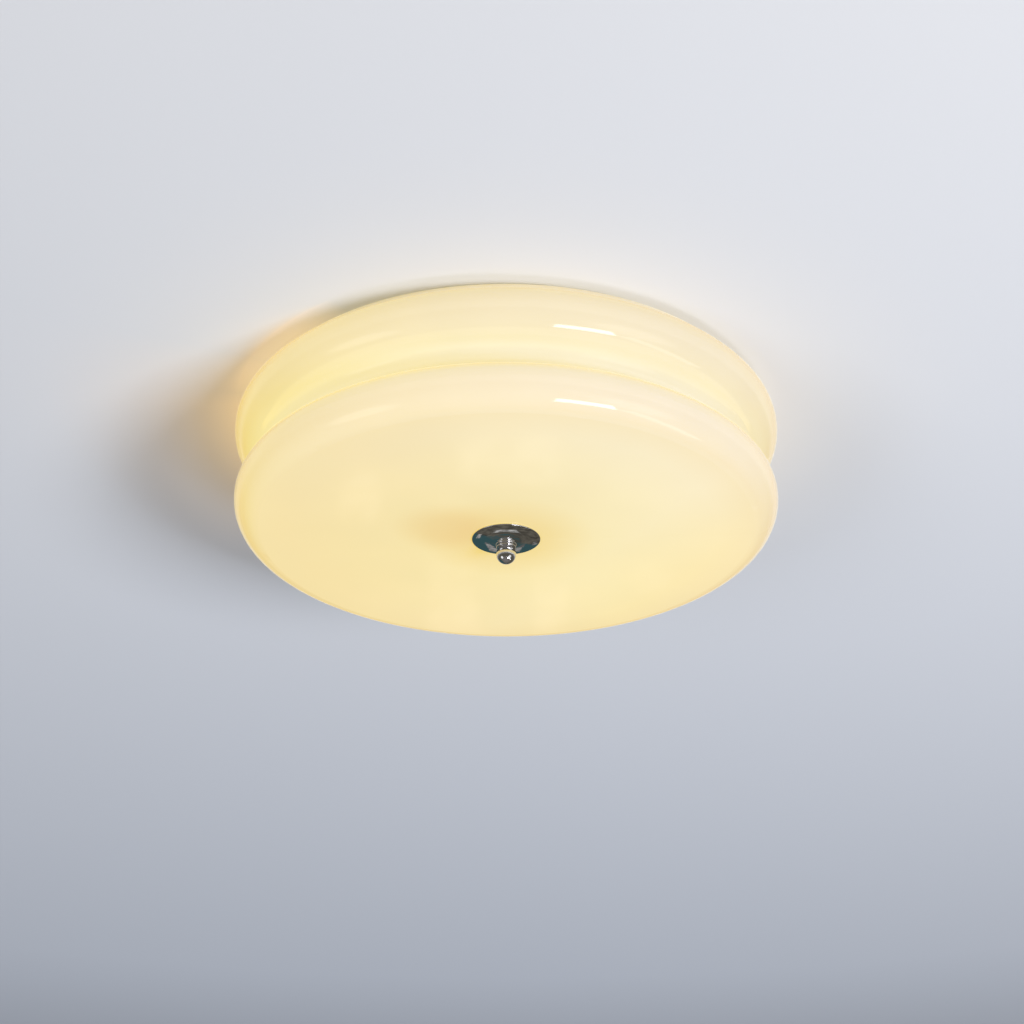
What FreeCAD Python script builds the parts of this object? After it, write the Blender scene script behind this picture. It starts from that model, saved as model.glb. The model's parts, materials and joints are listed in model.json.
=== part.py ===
import FreeCAD, Part
import math
import os

# Flush mount ceiling light: a two-tier opal glass shade pulled up to the ceiling by a ball
# finial on a centre rod. Millimetres. z = 0 is the ceiling, the lamp hangs towards -Z, and
# the origin is the middle of the mounting bar where it lies on the ceiling.

# ---- glass shade -------------------------------------------------------------------------
shade_upper_r = 200.0       # widest radius of the upper tier
shade_lower_r = 198.0       # widest radius of the lower tier
shade_neck_r = 173.5        # smallest radius, in the groove between the tiers
shade_rim_drop = 22.5       # rim down to the widest place of the upper tier
shade_neck_drop = 31.0      # upper tier's widest place down to the groove
shade_lower_drop = 26.0     # groove down to the lower tier's widest place
shade_corner_r = 19.0       # round from the lower tier into the bottom
shade_crown_r = 3710.0      # radius of the bottom's shallow crown
shade_pad_gap = 1.0         # flat pad round the hole, beyond the bush's flange
shade_rim_corner_r = 17.0   # round from the upper tier towards the rim
shade_rim_lean = 48.0       # degrees that the rim's wall faces above the horizontal
shade_rim_polish = 1.2      # rise of the fire-polished rim edge
shade_shelf = 0.85          # 0 slopes the shelf straight to the groove, 1 turns it flattest
shade_bulge = 0.63          # part of each bend's radius that goes to the bulge, not the groove
shade_wall = 4.0
shade_hole_r = 8.0
shade_rim_gap = 1.5         # rim to ceiling

# ---- centre rod, its nuts and washers ----------------------------------------------------
rod_r = 3.0
rod_top_above_nut = 3.0
rod_in_finial = 8.3         # thread that reaches into the finial
thread_gap = 0.1            # radial, between a plain rod and a plain threaded hole
rod_clearance = 0.35        # radial, where a piece slides along the rod
rod_nut_flats = 10.0
rod_nut_h = 5.0
lock_washer_r = 6.0
lock_washer_t = 1.2
grommet_flange_r = 15.0
grommet_flange_t = 2.4
grommet_gap = 0.3           # radial, rubber to the glass hole
inner_washer_r = 13.0
inner_washer_t = 1.5
outer_washer_inset = 0.5    # inside the edge of the dish's flat seat
outer_washer_t = 0.8

# ---- trim dish and finial ----------------------------------------------------------------
dish_r = 25.0
dish_t = 1.0
dish_seat_r = 11.0          # flat middle that the finial bears on
dish_crown_r = 121.0        # radius of the shallow crown outside the seat
finial_neck_r = 5.1
finial_neck_h = 1.6
finial_collar_r = 7.2
finial_collar_h = 1.2
finial_groove_r = 6.3
finial_groove_h = 0.6
finial_bead_r = 7.8
finial_bead_h = 1.6
finial_waist_r = 5.6
finial_waist_h = 1.4
finial_ball_r = 7.3
finial_ring_edge_r = 0.55   # rounding of the collar's and bead's edges
finial_hollow_edge_r = 0.25 # rounding of the corners between them
finial_bore_gap = 1.2       # bore beyond the rod's tip
finial_bore_depth = rod_in_finial + finial_bore_gap

# ---- ceiling pan -------------------------------------------------------------------------
pan_mouth_gap = 7.8         # pan's flange to the rim's inner edge
pan_flange_w = 9.0
pan_wall_slope = 5.0        # the wall comes in by this much from top to foot
pan_depth = 26.0            # ceiling to the underside of the pan's face
pan_sheet = 1.0
pan_bend_r = 2.0
pan_bead_gap = 4.2          # stud washers to the stiffening ring pressed into the face
pan_bead_w = 10.0
pan_bead_h = 2.0

# ---- mounting bar ------------------------------------------------------------------------
bar_end_reach = 8.0         # bar beyond each stud's axis
bar_width = 20.0
bar_t = 1.5
bar_bend_r = 1.5
bar_step = 4.0              # the ends stand this far below the ceiling
bar_step_run = 5.0          # length of each joggle
bar_end_flat = 15.0         # length of each lowered end
slot_spacing = 70.0
slot_length = 15.0
slot_width = 5.5
stud_spacing = 126.0
stud_r = 2.0
stud_in_nut = 5.0           # thread that reaches into the cap nut
stud_tip_gap = 0.2
stud_head_r = 3.5
stud_head_h = 2.4
stud_hole_gap = 0.3
stud_washer_r = 4.8
stud_washer_t = 1.0
dome_nut_flats = 7.0
dome_nut_hex_h = 3.2
dome_nut_dome_r = 3.2

# ---- LED board ---------------------------------------------------------------------------
board_edge_gap = 9.0        # board's rim inside the foot of the pan's wall
board_hole_gap = 6.2        # board's hole outside the stud washers
board_t = 1.6
foot_r = 6.0
foot_h = 8.4
foot_count = 4
foot_screw_r = 1.5
foot_screw_reach = 5.0
foot_screw_head_r = 2.8
foot_screw_head_h = 1.8
led_inner_ring_inset = 15.0  # from the board's hole
led_outer_ring_inset = 16.0  # from the board's rim
led_ring_counts = (16, 24)
chip_size = 3.0
chip_h = 0.8
lens_r = 5.5
lens_base_h = 1.2
lens_dome_h = 3.2
lens_pocket_gap = 0.3       # around and below the chip
plug_y = 42.0               # LED connector on the board's upper face, in line with the gland
plug_length = 9.0
plug_width = 8.0
plug_h = 5.0

# ---- driver in the pan -------------------------------------------------------------------
driver_y = 86.0
driver_length = 92.0
driver_width = 38.0
driver_headroom = 3.3       # lid above the transformer
driver_wall = 1.6
driver_lid_t = 2.0
driver_lip_h = 1.5
driver_fit = 0.3            # lid lip and circuit board to the case wall
driver_ear_length = 11.0
driver_ear_width = 16.0
driver_ear_t = 2.0
driver_screw_r = 1.75
driver_screw_head_r = 3.4
driver_screw_head_h = 2.0
driver_screw_reach = 2.5    # tip below the pan's face
driver_post_r = 2.4
driver_post_h = 2.5
driver_board_t = 1.6
driver_plug_length = 12.0
driver_plug_width = 14.0
driver_plug_h = 9.0
window_margin = 1.0         # case window inside the outline of the terminal behind it
core_length = 20.0
core_width = 16.0
core_h = 10.0
can_r = 4.5
can_length = 18.0

# ---- supply terminal and earth -----------------------------------------------------------
terminal_y = -46.0
terminal_pitch = 10.0
terminal_poles = 3
terminal_width = 16.0
terminal_h = 13.0
terminal_bore_z = 6.5       # bore axis above the pan's face
sleeve_r = 2.2
sleeve_bore_r = 1.4
sleeve_end_gap = 1.0        # the brass stops this far inside the block's faces
terminal_fit = 0.1
terminal_screw_r = 1.4
terminal_screw_offset = 4.2
terminal_screw_recess = 0.8
fixing_screw_r = 1.5
fixing_screw_head_r = 2.2
fixing_screw_head_h = 1.4
fixing_screw_reach = 2.5
earth_x = 44.0
earth_y = -20.0
earth_screw_r = 2.0
earth_screw_head_r = 3.6
earth_screw_head_h = 2.2
earth_screw_reach = 4.0
earth_washer_r = 4.5
earth_washer_t = 0.8
lug_ring_r = 4.2
lug_t = 0.8
lug_barrel_r = 1.9
lug_barrel_length = 6.0
screw_slot_w = 0.8
screw_slot_depth = 0.8

# ---- internal leads ----------------------------------------------------------------------
lead_r = 1.1
led_lead_r = 0.8
lead_gap = 0.1              # radial, lead to the metal that grips it
lead_insert = 4.0           # how far a lead reaches into a terminal
lead_bend_r = 12.0
led_lead_drop_bend_r = 3.5  # where the LED leads turn down and level out again
gland_x = 80.0              # rubber gland that takes the LED leads through the pan
gland_y = 62.0
gland_hole_r = 4.5
gland_bore_r = 2.9
gland_flange = 1.6
gland_flange_t = 1.2
led_lead_spacing = 2.6

# ---- sizes and heights that follow from the ones above -----------------------------------
pan_top_z = pan_sheet - pan_depth
pan_under_z = -pan_depth
rim_z = -shade_rim_gap
upper_z = rim_z - shade_rim_drop
neck_z = upper_z - shade_neck_drop
lower_z = neck_z - shade_lower_drop
shade_pad_r = grommet_flange_r + shade_pad_gap
crown_centre_r = shade_crown_r - shade_corner_r
crown_lean = math.asin((shade_lower_r - shade_corner_r - shade_pad_r) / crown_centre_r)
bottom_z = lower_z + crown_centre_r * math.cos(crown_lean) - shade_crown_r
bottom_inner_z = bottom_z + shade_wall
grommet_top_z = bottom_inner_z + grommet_flange_t
inner_washer_top_z = grommet_top_z + inner_washer_t
outer_washer_foot_z = bottom_z - outer_washer_t
dish_face_z = outer_washer_foot_z - dish_t
board_top_z = pan_under_z - foot_h
board_under_z = board_top_z - board_t
rod_top_z = pan_top_z + rod_nut_h + rod_top_above_nut
rod_foot_z = dish_face_z - rod_in_finial
rod_hole_r = rod_r + rod_clearance
thread_r = rod_r + thread_gap

stud_x = stud_spacing / 2
bar_length = 2 * (stud_x + bar_end_reach)
stud_nut_top_z = pan_under_z - stud_washer_t
stud_length = stud_in_nut - bar_step - stud_nut_top_z
dome_nut_bore = stud_in_nut + stud_tip_gap
pan_bead_inner_r = stud_x + stud_washer_r + pan_bead_gap
board_inner_r = stud_x + stud_washer_r + board_hole_gap
plug_x = gland_x
led_lead_z = board_top_z + plug_h / 2
lens_pocket_r = chip_size / math.sqrt(2) + lens_pocket_gap
lens_pocket_h = chip_h + lens_pocket_gap
driver_lid_z = pan_top_z + driver_wall + driver_post_h + driver_board_t + core_h + driver_headroom
driver_h = driver_lid_z + driver_lid_t - pan_top_z

ORIGIN = FreeCAD.Vector(0, 0, 0)
UP = FreeCAD.Vector(0, 0, 1)


def save(node, shape):
    """Write one sub-part to its own STEP file."""
    shape.exportStep("parts/" + node + ".step")


# ---- shapes used more than once ----------------------------------------------------------
def cylinder(radius, x, y, foot_z, top_z):
    """Upright cylinder between two heights."""
    return Part.makeCylinder(radius, top_z - foot_z, FreeCAD.Vector(x, y, foot_z))


def washer(outer_r, hole_r, x, y, foot_z, top_z):
    """Flat ring between two heights."""
    disc = cylinder(outer_r, x, y, foot_z, top_z)
    return disc.cut(cylinder(hole_r, x, y, foot_z, top_z))


def block(x, y, foot_z, length, width, height):
    """Box centred on x and y that stands on foot_z."""
    corner = FreeCAD.Vector(x - length / 2, y - width / 2, foot_z)
    return Part.makeBox(length, width, height, corner)


def hexagon(flats, x, y, foot_z, top_z):
    """Upright hexagonal prism measured across its flats."""
    corner_r = flats / math.sqrt(3)
    points = []
    for step in range(7):
        angle = math.radians(60 * step)
        corner_x = x + corner_r * math.cos(angle)
        corner_y = y + corner_r * math.sin(angle)
        points.append(FreeCAD.Vector(corner_x, corner_y, foot_z))
    face = Part.Face(Part.makePolygon(points))
    return face.extrude(FreeCAD.Vector(0, 0, top_z - foot_z))


def nut(flats, hole_r, foot_z, top_z):
    """Plain hexagon nut on the lamp's axis."""
    return hexagon(flats, 0, 0, foot_z, top_z).cut(cylinder(hole_r, 0, 0, foot_z, top_z))


def slotted_screw(x, y, seat_z, side, shank_r, reach, head_r, head_h):
    """Cheese-head screw whose head lies on seat_z; side is +1 for a head above it, -1 below."""
    outer_z = seat_z + side * head_h
    tip_z = seat_z - side * reach
    head = cylinder(head_r, x, y, min(seat_z, outer_z), max(seat_z, outer_z))
    shank = cylinder(shank_r, x, y, min(seat_z, tip_z), max(seat_z, tip_z))
    slot_foot_z = min(outer_z, outer_z - side * screw_slot_depth)
    slot = block(x, y, slot_foot_z, 3 * head_r, screw_slot_w, screw_slot_depth)
    return head.fuse(shank).removeSplitter().cut(slot)


def section_point(r, z):
    """Point of a section drawn in the XZ plane."""
    return FreeCAD.Vector(r, 0, z)


def section_line(start, end):
    return Part.LineSegment(section_point(*start), section_point(*end)).toShape()


def arc_point(centre, radius, degrees):
    """Point at an angle above the horizontal on a circle; a negative radius is a hollow."""
    angle = math.radians(degrees)
    return (centre[0] + radius * math.cos(angle), centre[1] + radius * math.sin(angle))


def section_arc_through(start, middle, end):
    return Part.Arc(section_point(*start), section_point(*middle), section_point(*end)).toShape()


def section_arc(centre, radius, start_degrees, end_degrees):
    middle = (start_degrees + end_degrees) / 2
    return section_arc_through(*[arc_point(centre, radius, degrees)
                                 for degrees in (start_degrees, middle, end_degrees)])


def face_of(edges):
    return Part.Face(Part.Wire(Part.__sortEdges__(edges)))


def turned(edges):
    """Solid of revolution about the lamp's axis from a closed section."""
    return face_of(edges).revolve(ORIGIN, UP, 360)


def corner_arc(before, corner, after, radius):
    """The two tangent points and the middle of the round at a corner of a path."""
    to_before = (before - corner).normalize()
    to_after = (after - corner).normalize()
    half_turn = (math.pi - to_before.getAngle(to_after)) / 2
    room = 0.49 * min((before - corner).Length, (after - corner).Length)
    setback = min(radius * math.tan(half_turn), room)
    fitted_r = setback / math.tan(half_turn)
    inward = (to_before + to_after).normalize()
    middle_distance = fitted_r / math.cos(half_turn) - fitted_r
    start = corner + to_before * setback
    end = corner + to_after * setback
    return start, corner + inward * middle_distance, end


def rounded_path(points, radii):
    """Straight runs joined by tangent arcs; radii holds one radius per inner corner."""
    edges = []
    last = points[0]
    for index, radius in enumerate(radii):
        start, middle, end = corner_arc(points[index], points[index + 1], points[index + 2], radius)
        edges.append(Part.LineSegment(last, start).toShape())
        edges.append(Part.Arc(start, middle, end).toShape())
        last = end
    edges.append(Part.LineSegment(last, points[-1]).toShape())
    return edges


def left_normal(start, end):
    """Unit normal to the left of a section's run."""
    run = (end - start).normalize()
    return FreeCAD.Vector(-run.z, 0, run.x)


def offset_points(points, distance):
    """The corners of a section line moved sideways, to its left for a positive distance."""
    moved = []
    for index, point in enumerate(points):
        before = left_normal(points[max(index - 1, 0)], points[max(index, 1)])
        after = left_normal(points[min(index, len(points) - 2)], points[min(index + 1, len(points) - 1)])
        mitre = (before + after) * (1 / (1 + before.dot(after)))
        moved.append(point + mitre * distance)
    return moved


def bent_sheet(points, thickness, bend_r):
    """Section of a sheet bent along a line of corners; it lies to the left of the line."""
    other = offset_points(points, thickness)
    near_radii = []
    far_radii = []
    for index in range(1, len(points) - 1):
        before = points[index] - points[index - 1]
        after = points[index + 1] - points[index]
        turns_left = before.x * after.z - before.z * after.x > 0
        inside_left = turns_left == (thickness > 0)
        near_radii.append(bend_r + abs(thickness) if inside_left else bend_r)
        far_radii.append(bend_r if inside_left else bend_r + abs(thickness))
    edges = rounded_path(points, near_radii) + rounded_path(other, far_radii)
    edges.append(Part.LineSegment(points[0], other[0]).toShape())
    edges.append(Part.LineSegment(points[-1], other[-1]).toShape())
    return face_of(edges)


def tube(points, bend_r, tube_r):
    """Round lead along straight runs joined by tangent arcs."""
    radii = bend_r if isinstance(bend_r, list) else [bend_r] * (len(points) - 2)
    path = Part.Wire(rounded_path(points, radii))
    profile = Part.Wire(Part.makeCircle(tube_r, points[0], points[1] - points[0]))
    return path.makePipeShell([profile], True, True)


def around(radius, count, first_degrees=0.0):
    """Places evenly spaced on a circle about the lamp's axis."""
    places = []
    for step in range(count):
        angle = math.radians(first_degrees + 360 * step / count)
        places.append((radius * math.cos(angle), radius * math.sin(angle)))
    return places


# ---- glass shade -------------------------------------------------------------------------
def tier_bend(run, drop):
    """Turn in degrees, and bulge and groove radii, of the double bend from a tier to the groove."""
    turn = (1 + shade_shelf) * math.atan2(run, drop)
    total_r = (drop * math.sin(turn) - run * math.cos(turn)) / (1 - math.cos(turn))
    return math.degrees(turn), shade_bulge * total_r, (1 - shade_bulge) * total_r


def shade_arcs():
    """Centre, radius and the two normal angles of each round of the shade's outer face."""
    upper_turn, upper_bulge, upper_groove = tier_bend(shade_upper_r - shade_neck_r, shade_neck_drop)
    lower_turn, lower_bulge, lower_groove = tier_bend(shade_lower_r - shade_neck_r, shade_lower_drop)
    crown_end = math.degrees(crown_lean) - 90
    return [
        ((shade_upper_r - shade_rim_corner_r, upper_z), shade_rim_corner_r, shade_rim_lean, 0),
        ((shade_upper_r - upper_bulge, upper_z), upper_bulge, 0, -upper_turn),
        ((shade_neck_r + upper_groove, neck_z), -upper_groove, -upper_turn, 0),
        ((shade_neck_r + lower_groove, neck_z), -lower_groove, 0, lower_turn),
        ((shade_lower_r - lower_bulge, lower_z), lower_bulge, lower_turn, 0),
        ((shade_lower_r - shade_corner_r, lower_z), shade_corner_r, 0, crown_end),
        ((shade_pad_r, bottom_z + shade_crown_r), shade_crown_r, crown_end, -90),
    ]


def rim_point(inset):
    """Where the leaning wall below the rim ends, on the face that lies inwards by inset."""
    centre, radius, lean, _ = shade_arcs()[0]
    wall_top = arc_point(centre, radius - inset, lean)
    edge_z = rim_z - shade_rim_polish
    return wall_top[0] - (edge_z - wall_top[1]) * math.tan(math.radians(lean)), edge_z


def shade_side(inset):
    """Edges of the shade's face from rim to hole, moved inwards by inset."""
    edges = []
    last = rim_point(inset)
    for centre, radius, start, end in shade_arcs():
        first = arc_point(centre, radius - inset, start)
        if math.dist(last, first) > 1e-6:
            edges.append(section_line(last, first))
        edges.append(section_arc(centre, radius - inset, start, end))
        last = arc_point(centre, radius - inset, end)
    edges.append(section_line(last, (shade_hole_r, last[1])))
    return edges


def make_glass_shade():
    outer_rim = rim_point(0)
    inner_rim = rim_point(shade_wall)
    rim_middle = ((outer_rim[0] + inner_rim[0]) / 2, rim_z)
    rim = section_arc_through(outer_rim, rim_middle, inner_rim)
    hole = section_line((shade_hole_r, bottom_z), (shade_hole_r, bottom_inner_z))
    return turned(shade_side(0) + shade_side(shade_wall) + [rim, hole])


def make_shade_grommet():
    """Rubber bush through the glass, flush below and with a flange above."""
    body = cylinder(shade_hole_r - grommet_gap, 0, 0, bottom_z, grommet_top_z)
    flange = cylinder(grommet_flange_r, 0, 0, bottom_inner_z, grommet_top_z)
    bore = cylinder(rod_hole_r, 0, 0, bottom_z, grommet_top_z)
    return body.fuse(flange).removeSplitter().cut(bore)


def make_inner_washer():
    return washer(inner_washer_r, rod_hole_r, 0, 0, grommet_top_z, inner_washer_top_z)


def make_outer_washer():
    outer_r = dish_seat_r - outer_washer_inset
    return washer(outer_r, rod_hole_r, 0, 0, outer_washer_foot_z, bottom_z)


# ---- trim dish and finial ----------------------------------------------------------------
def make_trim_dish():
    """Shallow crowned disc; its flat middle sits between the washer and the finial."""
    centre = (dish_seat_r, dish_face_z + dish_crown_r)
    lift = math.degrees(math.asin((dish_r - dish_t / 2 - dish_seat_r) / dish_crown_r))
    edge_centre = arc_point(centre, dish_crown_r - dish_t / 2, lift - 90)
    lower_end = arc_point(centre, dish_crown_r, lift - 90)
    upper_end = arc_point(centre, dish_crown_r - dish_t, lift - 90)
    edge_middle = arc_point(edge_centre, dish_t / 2, lift)
    edge = section_arc_through(lower_end, edge_middle, upper_end)
    top_z = dish_face_z + dish_t
    return turned([
        section_line((rod_hole_r, dish_face_z), (dish_seat_r, dish_face_z)),
        section_arc(centre, dish_crown_r, -90, lift - 90),
        edge,
        section_arc(centre, dish_crown_r - dish_t, lift - 90, -90),
        section_line((dish_seat_r, top_z), (rod_hole_r, top_z)),
        section_line((rod_hole_r, top_z), (rod_hole_r, dish_face_z)),
    ])


def make_finial():
    """Turned knob: neck, collar, groove and bead above a ball, with a blind threaded hole."""
    neck_z_end = dish_face_z - finial_neck_h
    collar_z = neck_z_end - finial_collar_h
    groove_z = collar_z - finial_groove_h
    bead_z = groove_z - finial_bead_h
    waist_z = bead_z - finial_waist_h
    waist_r = min(finial_waist_r, 0.95 * finial_ball_r)
    ball_z = waist_z - math.sqrt(finial_ball_r ** 2 - waist_r ** 2)
    bore_z = dish_face_z - finial_bore_depth
    steps = [(thread_r, dish_face_z), (finial_neck_r, dish_face_z), (finial_neck_r, neck_z_end),
             (finial_collar_r, neck_z_end), (finial_collar_r, collar_z), (finial_groove_r, collar_z),
             (finial_groove_r, groove_z), (finial_bead_r, groove_z), (finial_bead_r, bead_z),
             (waist_r, bead_z), (waist_r, waist_z)]
    hollow, ring = finial_hollow_edge_r, finial_ring_edge_r
    edges = [hollow, hollow, ring, ring, hollow, hollow, ring, ring, hollow]
    outline = rounded_path([section_point(*step) for step in steps], edges)
    ball_start = math.degrees(math.acos(waist_r / finial_ball_r))
    ball = section_arc((0, ball_z), finial_ball_r, ball_start, -90)
    axis = section_line((0, ball_z - finial_ball_r), (0, bore_z))
    bore_end = section_line((0, bore_z), (thread_r, bore_z))
    bore = section_line((thread_r, bore_z), (thread_r, dish_face_z))
    return turned(outline + [ball, axis, bore_end, bore])


# ---- rod, nuts and pan -------------------------------------------------------------------
pan_flange_r = rim_point(shade_wall)[0] - pan_mouth_gap
pan_wall_top_r = pan_flange_r - pan_flange_w
pan_wall_foot_r = pan_wall_top_r - pan_wall_slope


def make_centre_rod():
    return cylinder(rod_r, 0, 0, rod_foot_z, rod_top_z)


def make_rod_upper_nut():
    return nut(rod_nut_flats, thread_r, pan_top_z, pan_top_z + rod_nut_h)


def make_rod_lock_washer():
    return washer(lock_washer_r, rod_hole_r, 0, 0, pan_under_z - lock_washer_t, pan_under_z)


def make_rod_lower_nut():
    top_z = pan_under_z - lock_washer_t
    return nut(rod_nut_flats, thread_r, top_z - rod_nut_h, top_z)


def make_shade_stop_nut():
    return nut(rod_nut_flats, thread_r, inner_washer_top_z, inner_washer_top_z + rod_nut_h)


def stud_places():
    return [(-stud_x, 0), (stud_x, 0)]


def driver_screw_places():
    reach = driver_length / 2 + driver_ear_length / 2
    return [(-reach, driver_y), (reach, driver_y)]


def fixing_screw_x():
    """The fixing screw passes between the last two poles."""
    return terminal_pitch * (terminal_poles - 2) / 2


def make_ceiling_pan():
    """Pressed steel tray: flange on the ceiling, sloped wall, beaded face and its holes."""
    bead_outer_r = pan_bead_inner_r + pan_bead_w
    bead_z = pan_top_z - pan_bead_h
    corners = [(pan_flange_r, 0), (pan_wall_top_r, 0), (pan_wall_foot_r, pan_top_z),
               (bead_outer_r, pan_top_z), (bead_outer_r - pan_bead_w / 4, bead_z),
               (pan_bead_inner_r + pan_bead_w / 4, bead_z), (pan_bead_inner_r, pan_top_z),
               (rod_hole_r, pan_top_z)]
    sheet = bent_sheet([section_point(*corner) for corner in corners], pan_sheet, pan_bend_r)
    pan = sheet.revolve(ORIGIN, UP, 360)
    holes = [(place, stud_r + stud_hole_gap) for place in stud_places()]
    holes += [(place, driver_screw_r + thread_gap) for place in driver_screw_places()]
    holes.append(((fixing_screw_x(), terminal_y), fixing_screw_r + thread_gap))
    holes.append(((earth_x, earth_y), earth_screw_r + thread_gap))
    holes.append(((gland_x, gland_y), gland_hole_r))
    cutters = [cylinder(radius, x, y, pan_under_z - pan_sheet, pan_top_z + pan_sheet)
               for (x, y), radius in holes]
    return pan.cut(cutters)


# ---- mounting bar and its studs ----------------------------------------------------------
def make_crossbar():
    """Flat steel bar with joggled ends, two ceiling slots and two threaded stud holes."""
    end_x = bar_length / 2
    low_x = end_x - bar_end_flat
    high_x = low_x - bar_step_run
    corners = [(-end_x, -bar_step), (-low_x, -bar_step), (-high_x, 0),
               (high_x, 0), (low_x, -bar_step), (end_x, -bar_step)]
    sheet = bent_sheet([section_point(*corner) for corner in corners], -bar_t, bar_bend_r)
    sheet.translate(FreeCAD.Vector(0, -bar_width / 2, 0))
    bar = sheet.extrude(FreeCAD.Vector(0, bar_width, 0))
    cutters = []
    for side in (-1, 1):
        x = side * slot_spacing / 2
        straight = slot_length - slot_width
        cutters.append(block(x, 0, -bar_t, straight, slot_width, bar_t))
        cutters.append(cylinder(slot_width / 2, x - straight / 2, 0, -bar_t, 0))
        cutters.append(cylinder(slot_width / 2, x + straight / 2, 0, -bar_t, 0))
    for x, y in stud_places():
        cutters.append(cylinder(stud_r + thread_gap, x, y, -bar_step - bar_t, -bar_step))
    return bar.cut(cutters)


def make_crossbar_studs():
    """Machine screws that hang down from the bar's lowered ends."""
    return Part.makeCompound([slotted_screw(x, y, -bar_step, 1, stud_r, stud_length,
                                            stud_head_r, stud_head_h) for x, y in stud_places()])


def make_stud_washers():
    hole_r = stud_r + stud_hole_gap
    return Part.makeCompound([washer(stud_washer_r, hole_r, x, y, stud_nut_top_z, pan_under_z)
                              for x, y in stud_places()])


def make_dome_nuts():
    """Cap nuts below the pan's face: a hexagon, then a round cap whose dome starts past the bore."""
    hex_z = stud_nut_top_z - dome_nut_hex_h
    dome_z = stud_nut_top_z - dome_nut_bore
    nuts = []
    for x, y in stud_places():
        body = hexagon(dome_nut_flats, x, y, hex_z, stud_nut_top_z)
        cap = cylinder(dome_nut_dome_r, x, y, dome_z, hex_z)
        dome = Part.makeSphere(dome_nut_dome_r, FreeCAD.Vector(x, y, dome_z))
        lower_half = dome.common(cylinder(dome_nut_dome_r, x, y, dome_z - dome_nut_dome_r, dome_z))
        bore = cylinder(stud_r + thread_gap, x, y, dome_z, stud_nut_top_z)
        nuts.append(body.fuse([cap, lower_half]).removeSplitter().cut(bore))
    return Part.makeCompound(nuts)


# ---- LED board ---------------------------------------------------------------------------
board_outer_r = pan_wall_foot_r - board_edge_gap
foot_ring_r = (board_outer_r + board_inner_r) / 2
led_ring_radii = (board_inner_r + led_inner_ring_inset, board_outer_r - led_outer_ring_inset)


def make_led_board():
    """Ring-shaped aluminium board below the pan's face."""
    board = washer(board_outer_r, board_inner_r, 0, 0, board_under_z, board_top_z)
    hole_r = foot_screw_r + thread_gap
    return board.cut([cylinder(hole_r, x, y, board_under_z, board_top_z)
                      for x, y in around(foot_ring_r, foot_count)])


def led_places():
    places = []
    for radius, count in zip(led_ring_radii, led_ring_counts):
        places += around(radius, count, 180 / count)
    return places


def make_led_chips():
    return Part.makeCompound([block(x, y, board_under_z - chip_h, chip_size, chip_size, chip_h)
                              for x, y in led_places()])


def make_led_lenses():
    """Clear domes over the chips, each with a pocket for its chip."""
    dome_z = board_under_z - lens_base_h
    dome_r = (lens_r ** 2 + lens_dome_h ** 2) / (2 * lens_dome_h)
    lenses = []
    for x, y in led_places():
        base = cylinder(lens_r, x, y, dome_z, board_under_z)
        ball = Part.makeSphere(dome_r, FreeCAD.Vector(x, y, dome_z + dome_r - lens_dome_h))
        cap = ball.common(cylinder(lens_r, x, y, dome_z - lens_dome_h, dome_z))
        pocket = cylinder(lens_pocket_r, x, y, board_under_z - lens_pocket_h, board_under_z)
        lenses.append(base.fuse(cap).cut(pocket))
    return Part.makeCompound(lenses)


def make_magnet_feet():
    """Pot magnets that hold the board to the pan, tapped for the board's screws."""
    feet = []
    for x, y in around(foot_ring_r, foot_count):
        foot = cylinder(foot_r, x, y, board_top_z, pan_under_z)
        thread = cylinder(foot_screw_r + thread_gap, x, y, board_top_z, board_top_z + foot_screw_reach)
        feet.append(foot.cut(thread))
    return Part.makeCompound(feet)


def make_foot_screws():
    reach = board_t + foot_screw_reach - thread_gap
    return Part.makeCompound([slotted_screw(x, y, board_under_z, -1, foot_screw_r, reach,
                                            foot_screw_head_r, foot_screw_head_h)
                              for x, y in around(foot_ring_r, foot_count)])


def make_led_plug():
    """Two-way connector on the board's upper face, open towards the gland."""
    body = block(plug_x, plug_y, board_top_z, plug_width, plug_length, plug_h)
    mouth_y = plug_y + plug_length / 2
    holes = []
    for side in (-1, 1):
        start = FreeCAD.Vector(plug_x + side * led_lead_spacing / 2, mouth_y, led_lead_z)
        holes.append(Part.makeCylinder(led_lead_r + lead_gap, lead_insert, start, FreeCAD.Vector(0, -1, 0)))
    return body.cut(holes)


# ---- driver ------------------------------------------------------------------------------
driver_board_z = pan_top_z + driver_wall + driver_post_h
driver_board_top_z = driver_board_z + driver_board_t
driver_lead_z = driver_board_top_z + driver_plug_h / 2


def driver_inside(gap):
    """Length and width of the case's inside, less a gap on every side."""
    return driver_length - 2 * (driver_wall + gap), driver_width - 2 * (driver_wall + gap)


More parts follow.
